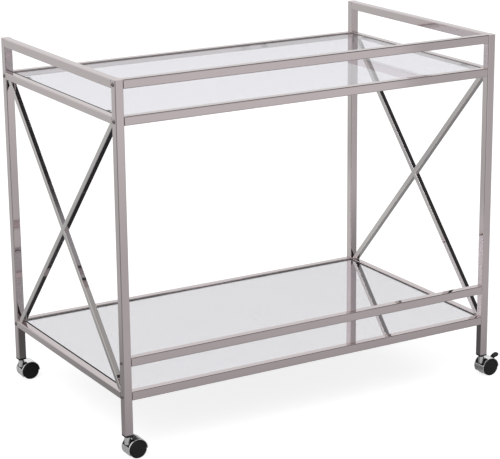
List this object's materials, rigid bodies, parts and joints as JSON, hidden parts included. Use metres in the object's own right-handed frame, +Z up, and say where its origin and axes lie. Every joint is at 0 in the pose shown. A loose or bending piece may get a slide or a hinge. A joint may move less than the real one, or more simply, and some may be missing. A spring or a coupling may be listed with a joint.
{
  "type": "bar cart on wheels",
  "caption": "Polished nickel bar cart with a clear glass upper shelf, a mirror lower shelf, crossed end braces and twin-wheel casters.",
  "frame": {"origin": "on the floor, under the middle of the whole footprint with all casters trailing towards +X; the middle of the frame itself is at x = -0.018", "axes": "+X along the cart towards the braked end, +Y from the front (gallery) side to the rear, +Z up"},
  "size_m": [0.9802, 0.5832, 0.804],
  "materials": {
    "frame_nickel": "polished",
    "bolt_nickel": "polished",
    "caster_chrome": "polished",
    "zinc_steel": "satin",
    "clear_glass": "polished",
    "mirror_glass": "polished",
    "mirror_silver": "polished",
    "wheel_plastic": "gloss",
    "black_plastic": "matte",
    "clear_pad": "matte"
  },
  "bodies": {
    "frame": {"front_handle_rail": "frame_nickel", "front_left_caster_stem": "zinc_steel", "front_left_post": "frame_nickel", "front_right_caster_stem": "zinc_steel", "front_right_post": "frame_nickel", "left_end_handle": "frame_nickel", "left_lower_half_brace": "frame_nickel", "left_lower_side_rail": "frame_nickel", "left_through_brace": "frame_nickel", "left_upper_half_brace": "frame_nickel", "left_upper_side_rail": "frame_nickel", "lower_front_rail": "frame_nickel", "lower_gallery_rail": "frame_nickel", "lower_mirror_backing": "mirror_silver", "lower_mirror_glass": "mirror_glass", "lower_rear_rail": "frame_nickel", "lower_shelf_pads": "clear_pad", "lower_shelf_tabs": "frame_nickel", "post_inserts": "black_plastic", "rail_bolts": "bolt_nickel", "rail_end_nuts": "zinc_steel", "rear_left_caster_stem": "zinc_steel", "rear_left_post": "frame_nickel", "rear_right_caster_stem": "zinc_steel", "rear_right_post": "frame_nickel", "right_end_handle": "frame_nickel", "right_lower_half_brace": "frame_nickel", "right_lower_side_rail": "frame_nickel", "right_through_brace": "frame_nickel", "right_upper_half_brace": "frame_nickel", "right_upper_side_rail": "frame_nickel", "upper_front_rail": "frame_nickel", "upper_glass_shelf": "clear_glass", "upper_rear_rail": "frame_nickel", "upper_shelf_pads": "clear_pad", "upper_shelf_tabs": "frame_nickel"},
    "front_left_caster": {"front_left_caster_hood": "caster_chrome", "front_left_caster_core": "black_plastic", "front_left_caster_axle": "zinc_steel"},
    "front_left_outer_wheel": {"front_left_outer_wheel": "wheel_plastic"},
    "front_left_inner_wheel": {"front_left_inner_wheel": "wheel_plastic"},
    "rear_left_caster": {"rear_left_caster_hood": "caster_chrome", "rear_left_caster_core": "black_plastic", "rear_left_caster_axle": "zinc_steel"},
    "rear_left_outer_wheel": {"rear_left_outer_wheel": "wheel_plastic"},
    "rear_left_inner_wheel": {"rear_left_inner_wheel": "wheel_plastic"},
    "front_right_caster": {"front_right_caster_hood": "caster_chrome", "front_right_caster_core": "black_plastic", "front_right_caster_axle": "zinc_steel", "front_right_brake_pin": "zinc_steel"},
    "front_right_outer_wheel": {"front_right_outer_wheel": "wheel_plastic"},
    "front_right_inner_wheel": {"front_right_inner_wheel": "wheel_plastic"},
    "front_right_brake": {"front_right_brake_lever": "black_plastic"},
    "rear_right_caster": {"rear_right_caster_hood": "caster_chrome", "rear_right_caster_core": "black_plastic", "rear_right_caster_axle": "zinc_steel", "rear_right_brake_pin": "zinc_steel"},
    "rear_right_outer_wheel": {"rear_right_outer_wheel": "wheel_plastic"},
    "rear_right_inner_wheel": {"rear_right_inner_wheel": "wheel_plastic"},
    "rear_right_brake": {"rear_right_brake_lever": "black_plastic"}
  },
  "joints": [
    {"name": "front_left_swivel", "type": "hinge", "parent": "frame", "child": "front_left_caster", "pos_m": [-0.4785, -0.274, 0.036], "axis": [0, 0, 1], "continuous": true},
    {"name": "front_left_outer_wheel_spin", "type": "hinge", "parent": "front_left_caster", "child": "front_left_outer_wheel", "pos_m": [-0.4625, -0.274, 0.02], "axis": [0, 1, 0], "continuous": true},
    {"name": "front_left_inner_wheel_spin", "type": "hinge", "parent": "front_left_caster", "child": "front_left_inner_wheel", "pos_m": [-0.4625, -0.274, 0.02], "axis": [0, 1, 0], "continuous": true},
    {"name": "rear_left_swivel", "type": "hinge", "parent": "frame", "child": "rear_left_caster", "pos_m": [-0.4785, 0.274, 0.036], "axis": [0, 0, 1], "continuous": true},
    {"name": "rear_left_outer_wheel_spin", "type": "hinge", "parent": "rear_left_caster", "child": "rear_left_outer_wheel", "pos_m": [-0.4625, 0.274, 0.02], "axis": [0, 1, 0], "continuous": true},
    {"name": "rear_left_inner_wheel_spin", "type": "hinge", "parent": "rear_left_caster", "child": "rear_left_inner_wheel", "pos_m": [-0.4625, 0.274, 0.02], "axis": [0, 1, 0], "continuous": true},
    {"name": "front_right_swivel", "type": "hinge", "parent": "frame", "child": "front_right_caster", "pos_m": [0.4425, -0.274, 0.036], "axis": [0, 0, 1], "continuous": true},
    {"name": "front_right_outer_wheel_spin", "type": "hinge", "parent": "front_right_caster", "child": "front_right_outer_wheel", "pos_m": [0.4585, -0.274, 0.02], "axis": [0, 1, 0], "continuous": true},
    {"name": "front_right_inner_wheel_spin", "type": "hinge", "parent": "front_right_caster", "child": "front_right_inner_wheel", "pos_m": [0.4585, -0.274, 0.02], "axis": [0, 1, 0], "continuous": true},
    {"name": "front_right_brake_press", "type": "hinge", "parent": "front_right_caster", "child": "front_right_brake", "pos_m": [0.468, -0.274, 0.0315], "axis": [0, 1, 0], "range_deg": [0, 18]},
    {"name": "rear_right_swivel", "type": "hinge", "parent": "frame", "child": "rear_right_caster", "pos_m": [0.4425, 0.274, 0.036], "axis": [0, 0, 1], "continuous": true},
    {"name": "rear_right_outer_wheel_spin", "type": "hinge", "parent": "rear_right_caster", "child": "rear_right_outer_wheel", "pos_m": [0.4585, 0.274, 0.02], "axis": [0, 1, 0], "continuous": true},
    {"name": "rear_right_inner_wheel_spin", "type": "hinge", "parent": "rear_right_caster", "child": "rear_right_inner_wheel", "pos_m": [0.4585, 0.274, 0.02], "axis": [0, 1, 0], "continuous": true},
    {"name": "rear_right_brake_press", "type": "hinge", "parent": "rear_right_caster", "child": "rear_right_brake", "pos_m": [0.468, 0.274, 0.0315], "axis": [0, 1, 0], "range_deg": [0, 18]}
  ]
}
